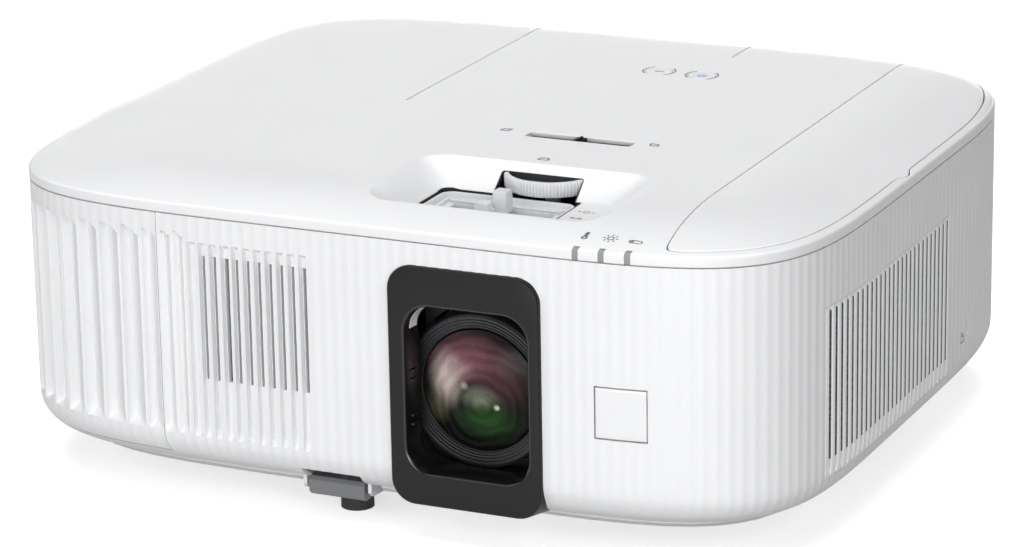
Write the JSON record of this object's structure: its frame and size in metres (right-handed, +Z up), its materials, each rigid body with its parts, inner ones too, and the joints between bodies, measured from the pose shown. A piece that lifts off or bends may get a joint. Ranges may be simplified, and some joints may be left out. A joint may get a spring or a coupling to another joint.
{
  "type": "home projector",
  "caption": "Home projector with fluted case, recessed lens, zoom and focus controls, buttons, vents, lamp cover, filter cover, rear sockets and height-adjusting feet.",
  "frame": {"origin": "on the standing surface, under the middle of the case and its lens bezel", "axes": "+Z up, the lens looks along -Y, +X is to the right seen from the front"},
  "size_m": [0.3328, 0.2919, 0.124],
  "materials": {
    "white_plastic": "fine satin texture",
    "tray_white": "satin",
    "charcoal_plastic": "satin",
    "black_plastic": "satin",
    "grey_plastic": "satin",
    "indicator_plastic": "frosted",
    "window_plastic": "gloss",
    "coated_glass": "coated, gloss",
    "rubber": "matte",
    "steel": "satin",
    "circuit_board": "satin",
    "filter_foam": "matte"
  },
  "bodies": {
    "case": {"upper_case": "white_plastic", "power_indicator": "indicator_plastic", "lamp_indicator": "indicator_plastic", "temperature_indicator": "indicator_plastic", "lower_case": "white_plastic", "exhaust_grille": "white_plastic", "speaker_grille": "white_plastic", "front_infrared_window": "window_plastic", "lens_bezel": "charcoal_plastic", "lens_barrel": "black_plastic", "rear_lens_element": "coated_glass", "control_tray": "tray_white", "button_board": "circuit_board", "base_plate": "tray_white", "base_screw_front_left": "steel", "base_screw_front_right": "steel", "base_screw_rear_left": "steel", "base_screw_rear_right": "steel", "front_foot_bracket": "white_plastic", "terminal_panel": "tray_white", "power_inlet": "black_plastic", "hdmi_socket_1": "steel", "hdmi_socket_2": "steel", "usb_socket": "steel", "audio_socket": "black_plastic", "rear_infrared_window": "window_plastic", "speaker": "black_plastic", "exhaust_fan_frame": "black_plastic", "intake_fan_frame": "black_plastic", "optical_engine_housing": "black_plastic", "light_combining_prism": "coated_glass", "lamp_housing": "steel", "lamp_reflector": "steel", "main_board": "circuit_board", "power_supply": "circuit_board", "lamp_ballast": "circuit_board"},
    "focus_group": {"focus_ring": "black_plastic", "front_lens_cell": "black_plastic", "front_lens_element": "coated_glass"},
    "zoom_ring_body": {"zoom_ring": "black_plastic"},
    "zoom_wheel_body": {"zoom_thumbwheel": "tray_white"},
    "focus_lever_body": {"focus_lever": "tray_white"},
    "source_button_body": {"source_button": "white_plastic"},
    "power_button_body": {"power_button": "white_plastic"},
    "keystone_slider_body": {"keystone_slider": "grey_plastic"},
    "lamp_cover_body": {"lamp_cover": "white_plastic"},
    "air_filter_body": {"air_filter_cover": "white_plastic", "air_filter": "filter_foam"},
    "foot_lever_body": {"foot_release_lever": "grey_plastic"},
    "front_foot_body": {"front_foot_leg": "black_plastic", "front_foot_pad": "rubber"},
    "rear_stem_left_body": {"rear_foot_stem_left": "steel"},
    "rear_disc_left_body": {"rear_foot_disc_left": "rubber"},
    "rear_stem_right_body": {"rear_foot_stem_right": "steel"},
    "rear_disc_right_body": {"rear_foot_disc_right": "rubber"},
    "exhaust_rotor_body": {"exhaust_fan_rotor": "black_plastic"},
    "intake_rotor_body": {"intake_fan_rotor": "black_plastic"}
  },
  "joints": [
    {"name": "focus_lever_slide", "type": "slide", "parent": "case", "child": "focus_lever_body", "axis": [1, 0, 0], "range_m": [-0.016, 0.016]},
    {"name": "focus_ring_turn", "type": "hinge", "parent": "case", "child": "focus_group", "pos_m": [0.042, -0.1, 0.056], "axis": [0, 1, 0], "range_deg": [-22, 22]},
    {"name": "zoom_wheel_turn", "type": "hinge", "parent": "case", "child": "zoom_wheel_body", "pos_m": [0.0404, -0.0598, 0.118], "axis": [0, 0, 1], "range_deg": [-70, 70]},
    {"name": "zoom_ring_turn", "type": "hinge", "parent": "case", "child": "zoom_ring_body", "pos_m": [0.042, -0.075, 0.056], "axis": [0, 1, 0], "range_deg": [-18, 18]},
    {"name": "source_button_press", "type": "slide", "parent": "case", "child": "source_button_body", "axis": [0, 0, -1], "range_m": [0, 0.0008], "stiffness_N_per_m": 1200},
    {"name": "power_button_press", "type": "slide", "parent": "case", "child": "power_button_body", "axis": [0, 0, -1], "range_m": [0, 0.0008], "stiffness_N_per_m": 1200},
    {"name": "keystone_slide", "type": "slide", "parent": "case", "child": "keystone_slider_body", "axis": [1, 0, 0], "range_m": [-0.016, 0.016]},
    {"name": "lamp_cover_lift", "type": "slide", "parent": "case", "child": "lamp_cover_body", "axis": [0, 0, 1], "range_m": [0, 0.05]},
    {"name": "air_filter_pull", "type": "slide", "parent": "case", "child": "air_filter_body", "axis": [1, 0, 0], "range_m": [0, 0.04]},
    {"name": "foot_lever_press", "type": "hinge", "parent": "case", "child": "foot_lever_body", "pos_m": [-0.016, -0.114, 0.012], "axis": [-1, 0, 0], "range_deg": [0, 6], "stiffness_Nm_per_rad": 0.8},
    {"name": "front_foot_slide", "type": "slide", "parent": "case", "child": "front_foot_body", "axis": [0, 0, -1], "range_m": [0, 0.025]},
    {"name": "rear_foot_left_lower", "type": "slide", "parent": "case", "child": "rear_stem_left_body", "axis": [0, 0, -1], "range_m": [0, 0.01]},
    {"name": "rear_foot_left_turn", "type": "hinge", "parent": "rear_stem_left_body", "child": "rear_disc_left_body", "pos_m": [-0.116, 0.1, 0.004], "axis": [0, 0, -1], "range_deg": [0, 2400]},
    {"name": "rear_foot_right_lower", "type": "slide", "parent": "case", "child": "rear_stem_right_body", "axis": [0, 0, -1], "range_m": [0, 0.01]},
    {"name": "rear_foot_right_turn", "type": "hinge", "parent": "rear_stem_right_body", "child": "rear_disc_right_body", "pos_m": [0.116, 0.1, 0.004], "axis": [0, 0, -1], "range_deg": [0, 2400]},
    {"name": "exhaust_fan_spin", "type": "hinge", "parent": "case", "child": "exhaust_rotor_body", "pos_m": [-0.084, -0.1, 0.06], "axis": [0, 1, 0], "continuous": true},
    {"name": "intake_fan_spin", "type": "hinge", "parent": "case", "child": "intake_rotor_body", "pos_m": [0.135, -0.034, 0.06], "axis": [1, 0, 0], "continuous": true}
  ],
  "couplings": [
    {"joint": "focus_ring_turn", "follows": "focus_lever_slide", "rad_per_m": 22.7},
    {"joint": "zoom_ring_turn", "follows": "zoom_wheel_turn", "ratio": 0.2525},
    {"joint": "rear_foot_left_turn", "follows": "rear_foot_left_lower", "rad_per_m": 4188.8},
    {"joint": "rear_foot_right_turn", "follows": "rear_foot_right_lower", "rad_per_m": 4188.8}
  ]
}
